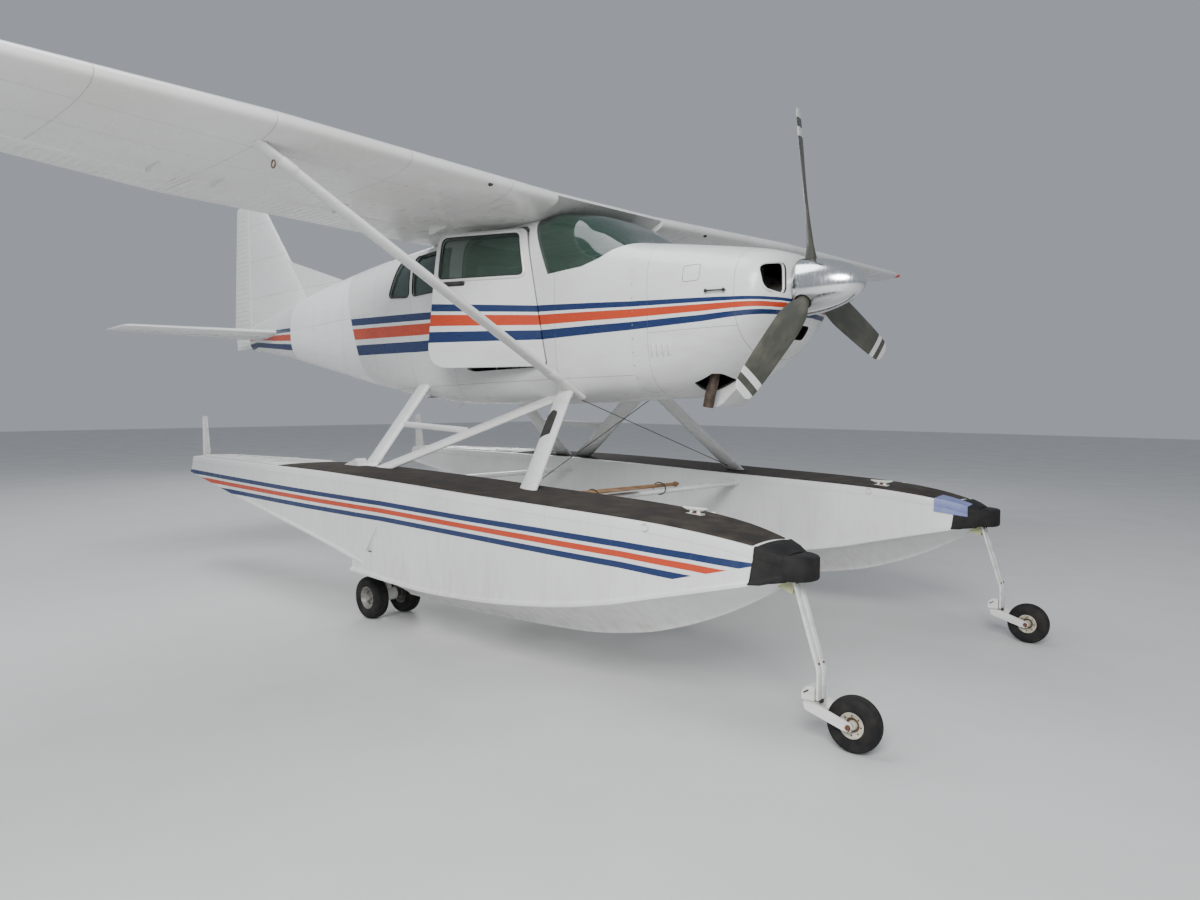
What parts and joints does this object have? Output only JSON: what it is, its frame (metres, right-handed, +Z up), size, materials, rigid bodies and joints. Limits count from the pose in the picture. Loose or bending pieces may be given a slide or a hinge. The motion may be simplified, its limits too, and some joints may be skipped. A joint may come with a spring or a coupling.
{
  "type": "floatplane",
  "caption": "High-wing light aeroplane on twin amphibious floats with retractable wheels, strut-braced wings, a closed cabin and a nose propeller.",
  "frame": {"origin": "on the floor below the middle of the bounding box", "axes": "+X towards the nose, +Y towards the port wing tip, +Z up; the aeroplane stands nose up on its float wheels"},
  "size_m": [8.7131, 10.92, 3.7884],
  "materials": {
    "white_paint": "gloss white paint with navy and red stripes",
    "float_paint": "gloss white paint with navy and red stripes and a black non-skid deck",
    "gear_paint": "white gloss, lightly soiled",
    "wheel_rim": "cream paint, dusty",
    "tyre_rubber": "black rubber, dusty",
    "bumper_rubber": "matt black moulded rubber",
    "spinner_metal": "polished aluminium",
    "blade_paint": "dark grey olive with two white tip bands",
    "engine_metal": "cast alloy with dark baffles",
    "window_glass": "green-grey tinted acrylic",
    "cabin_trim": "dark grey panel",
    "seat_cloth": "grey woven cloth"
  },
  "bodies": {
    "airframe": {"cabin_shell": "white_paint", "tail_cone": "white_paint", "cowling": "white_paint", "engine_block": "engine_metal", "windshield": "window_glass", "side_glass_left": "window_glass", "side_glass_right": "window_glass", "instrument_panel": "cabin_trim", "front_seats": "seat_cloth", "rear_seat": "seat_cloth", "wing_left": "white_paint", "wing_right": "white_paint", "wing_strut_left": "white_paint", "wing_strut_right": "white_paint", "fin": "white_paint", "tailplane": "white_paint", "float_hull_left": "float_paint", "float_hull_right": "float_paint", "bow_bumper_left": "bumper_rubber", "bow_bumper_right": "bumper_rubber", "front_strut_left": "white_paint", "front_strut_right": "white_paint", "rear_strut_left": "white_paint", "rear_strut_right": "white_paint", "brace_strut_left": "white_paint", "brace_strut_right": "white_paint", "spreader_front": "white_paint", "spreader_rear": "white_paint", "main_leg_left": "gear_paint", "main_leg_right": "gear_paint", "nose_leg_left": "gear_paint", "nose_leg_right": "gear_paint"},
    "propeller": {"propeller": "blade_paint", "spinner": "spinner_metal"},
    "door_left": {"door_left": "white_paint", "door_glass_left": "window_glass"},
    "door_right": {"door_right": "white_paint", "door_glass_right": "window_glass"},
    "flap_left": {"flap_left": "white_paint"},
    "flap_right": {"flap_right": "white_paint"},
    "aileron_left": {"aileron_left": "white_paint"},
    "aileron_right": {"aileron_right": "white_paint"},
    "elevator": {"elevator": "white_paint"},
    "rudder": {"rudder": "white_paint"},
    "water_rudder_left": {"water_rudder_left": "float_paint"},
    "water_rudder_right": {"water_rudder_right": "float_paint"},
    "caster_left": {"nose_fork_left": "gear_paint"},
    "caster_right": {"nose_fork_right": "gear_paint"},
    "nose_wheel_left": {"nose_hub_left": "wheel_rim", "nose_tyre_left": "tyre_rubber"},
    "nose_wheel_right": {"nose_hub_right": "wheel_rim", "nose_tyre_right": "tyre_rubber"},
    "main_wheels_left": {"main_axle_left": "wheel_rim", "main_tyre_left_inner": "tyre_rubber", "main_tyre_left_outer": "tyre_rubber"},
    "main_wheels_right": {"main_axle_right": "wheel_rim", "main_tyre_right_inner": "tyre_rubber", "main_tyre_right_outer": "tyre_rubber"}
  },
  "joints": [
    {"name": "propeller_spin", "type": "hinge", "parent": "airframe", "child": "propeller", "pos_m": [3.16335, 0, 2.24655], "axis": [0.9996, 0, 0.0286], "continuous": true},
    {"name": "door_left_hinge", "type": "hinge", "parent": "airframe", "child": "door_left", "pos_m": [1.57169, 0.572, 1.79278], "axis": [0.2149, 0, -0.9766], "range_deg": [0, 60]},
    {"name": "door_right_hinge", "type": "hinge", "parent": "airframe", "child": "door_right", "pos_m": [1.57169, -0.572, 1.79278], "axis": [-0.2149, 0, 0.9766], "range_deg": [-23, 37]},
    {"name": "flap_left_hinge", "type": "hinge", "parent": "airframe", "child": "flap_left", "pos_m": [0.51789, 0.64, 2.86645], "axis": [0.0009, -0.9995, -0.0302], "range_deg": [0, 40]},
    {"name": "flap_right_hinge", "type": "hinge", "parent": "airframe", "child": "flap_right", "pos_m": [0.51789, -0.64, 2.86645], "axis": [-0.0009, -0.9995, 0.0302], "range_deg": [0, 40]},
    {"name": "aileron_left_hinge", "type": "hinge", "parent": "airframe", "child": "aileron_left", "pos_m": [0.45471, 2.6, 2.91997], "axis": [0.0531, 0.9974, 0.0494], "range_deg": [-17, 17]},
    {"name": "aileron_right_hinge", "type": "hinge", "parent": "airframe", "child": "aileron_right", "pos_m": [0.45471, -2.6, 2.91997], "axis": [-0.0531, 0.9974, -0.0494], "range_deg": [-17, 17]},
    {"name": "elevator_hinge", "type": "hinge", "parent": "airframe", "child": "elevator", "pos_m": [-3.53937, 0, 2.2456], "axis": [0, 1, 0], "range_deg": [-20, 25]},
    {"name": "rudder_hinge", "type": "hinge", "parent": "airframe", "child": "rudder", "pos_m": [-3.9083, 0, 2.13299], "axis": [-0.0286, 0, 0.9996], "range_deg": [-24, 24]},
    {"name": "water_rudder_left_hinge", "type": "hinge", "parent": "airframe", "child": "water_rudder_left", "pos_m": [-2.4285, 1.22, 0.985], "axis": [0, -1, 0], "range_deg": [0, 165]},
    {"name": "water_rudder_right_hinge", "type": "hinge", "parent": "airframe", "child": "water_rudder_right", "pos_m": [-2.4285, -1.22, 0.985], "axis": [0, -1, 0], "range_deg": [0, 165]},
    {"name": "caster_left_swivel", "type": "hinge", "parent": "airframe", "child": "caster_left", "pos_m": [4.0315, 1.22, 0.19], "axis": [0, 0, 1], "continuous": true},
    {"name": "caster_right_swivel", "type": "hinge", "parent": "airframe", "child": "caster_right", "pos_m": [4.0315, -1.22, 0.19], "axis": [0, 0, 1], "continuous": true},
    {"name": "nose_wheel_left_spin", "type": "hinge", "parent": "caster_left", "child": "nose_wheel_left", "pos_m": [4.2295, 1.22, 0.127], "axis": [0, 1, 0], "continuous": true},
    {"name": "nose_wheel_right_spin", "type": "hinge", "parent": "caster_right", "child": "nose_wheel_right", "pos_m": [4.2295, -1.22, 0.127], "axis": [0, 1, 0], "continuous": true},
    {"name": "main_wheels_left_spin", "type": "hinge", "parent": "airframe", "child": "main_wheels_left", "pos_m": [0.6115, 1.22, 0.15], "axis": [0, 1, 0], "continuous": true},
    {"name": "main_wheels_right_spin", "type": "hinge", "parent": "airframe", "child": "main_wheels_right", "pos_m": [0.6115, -1.22, 0.15], "axis": [0, 1, 0], "continuous": true}
  ],
  "couplings": [
    {"joint": "flap_right_hinge", "follows": "flap_left_hinge", "ratio": 1},
    {"joint": "aileron_right_hinge", "follows": "aileron_left_hinge", "ratio": -1},
    {"joint": "water_rudder_right_hinge", "follows": "water_rudder_left_hinge", "ratio": 1}
  ]
}
